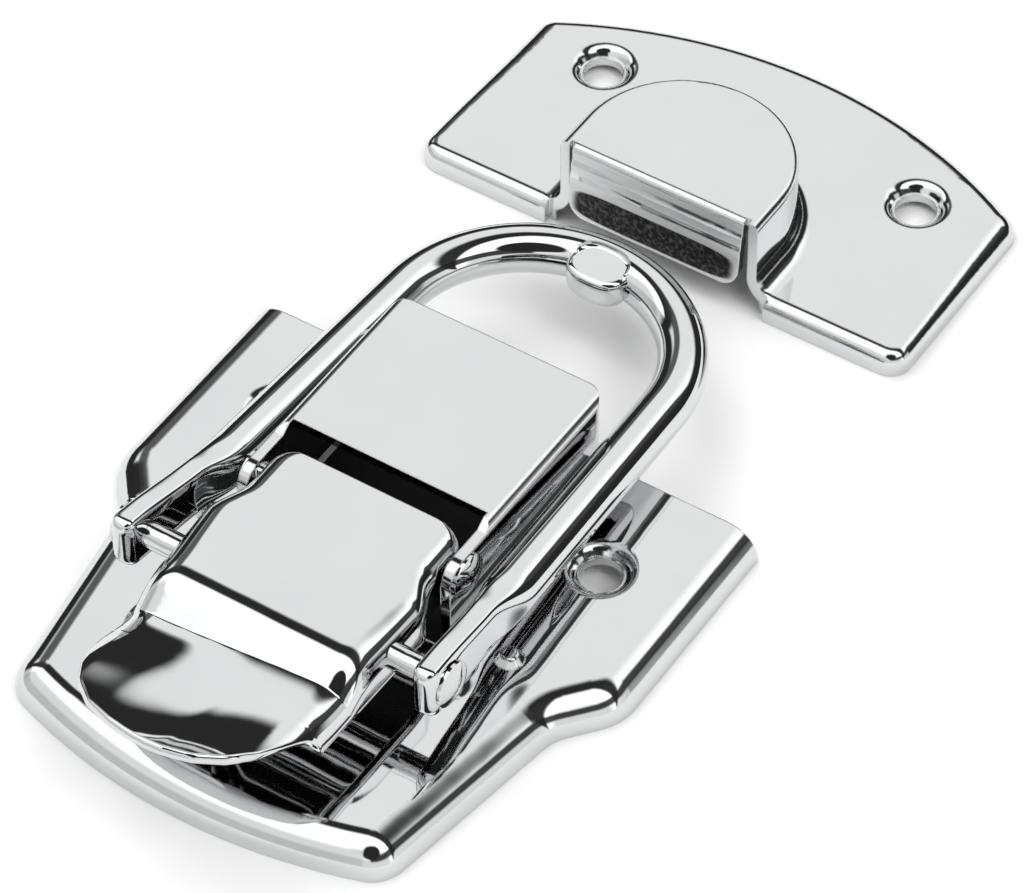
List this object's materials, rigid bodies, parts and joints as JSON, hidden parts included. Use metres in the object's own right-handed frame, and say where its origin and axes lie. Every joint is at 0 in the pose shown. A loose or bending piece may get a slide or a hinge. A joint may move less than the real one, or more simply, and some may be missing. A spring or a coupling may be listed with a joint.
{
  "type": "toggle latch",
  "caption": "Draw latch: pressed base plate with raised housing, finger lever, swinging wire bail on rivets, and a separate strike plate with a raised hook dome.",
  "frame": {"origin": "centre of the whole set's footprint on the mounting surface, 0.2 mm inside the base plate's straight ear edge", "axes": "+Z out of the mounting surface, +Y from the base plate towards the strike plate, +X across the latch along the line of the screw holes"},
  "size_m": [0.0538, 0.1106, 0.0148],
  "materials": {
    "sheet_chrome": "bright plated steel sheet",
    "lever_chrome": "bright plated steel sheet",
    "wire_chrome": "bright plated steel wire",
    "rivet_chrome": "plated steel rivet"
  },
  "bodies": {
    "base": {"base_plate": "sheet_chrome", "lever_pin": "rivet_chrome"},
    "lever": {"lever": "lever_chrome", "bail_pin": "rivet_chrome"},
    "bail": {"bail": "wire_chrome"},
    "strike": {"strike_plate": "sheet_chrome"}
  },
  "joints": [
    {"name": "lever_hinge", "type": "hinge", "parent": "base", "child": "lever", "pos_m": [0, -0.02218, 0.0098], "axis": [-1, 0, 0], "range_deg": [0, 110]},
    {"name": "bail_hinge", "type": "hinge", "parent": "lever", "child": "bail", "pos_m": [0, -0.03318, 0.0101], "axis": [1, 0, 0], "range_deg": [0, 110]},
    {"name": "strike_slide", "type": "slide", "parent": "base", "child": "strike", "axis": [0, 1, 0], "range_m": [0, 0.03]}
  ],
  "couplings": [
    {"joint": "bail_hinge", "follows": "lever_hinge", "ratio": 1}
  ]
}
